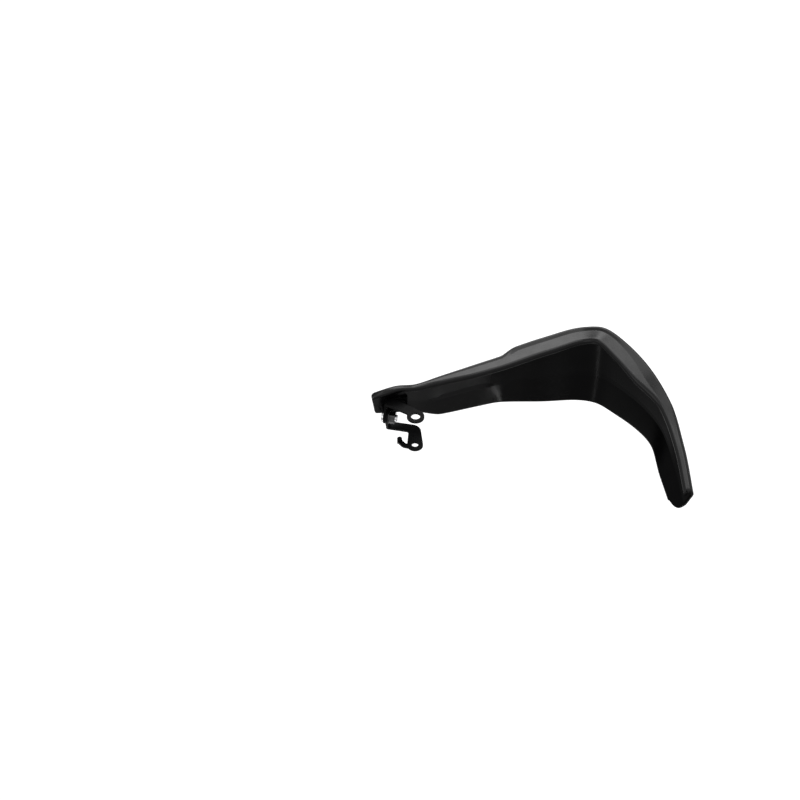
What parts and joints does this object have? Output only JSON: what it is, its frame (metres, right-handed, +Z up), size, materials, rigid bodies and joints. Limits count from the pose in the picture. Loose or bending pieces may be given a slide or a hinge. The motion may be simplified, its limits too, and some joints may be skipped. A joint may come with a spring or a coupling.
{
  "type": "motorcycle hand guard",
  "caption": "Moulded wind and knock shield that wraps a handlebar grip, on steel stays that bolt under the mirror stem and on the lever pivot.",
  "frame": {"origin": "middle of the mirror stay's eye, on the underside of its plate", "axes": "+Z up the mirror stem through the eye, +X outboard along the handlebar, +Y forward"},
  "size_m": [0.2738, 0.1519, 0.0931],
  "materials": {
    "moulded_plastic": "satin",
    "black_steel": "satin",
    "bright_zinc": "plated"
  },
  "bodies": {
    "root": {"shield": "moulded_plastic", "mirror_stay": "black_steel", "lever_stay": "black_steel", "stay_bolt": "bright_zinc", "stay_washer": "bright_zinc", "stay_nut": "bright_zinc", "tongue_collar": "bright_zinc", "tongue_bolt": "black_steel", "weld_nut": "black_steel"}
  },
  "joints": []
}
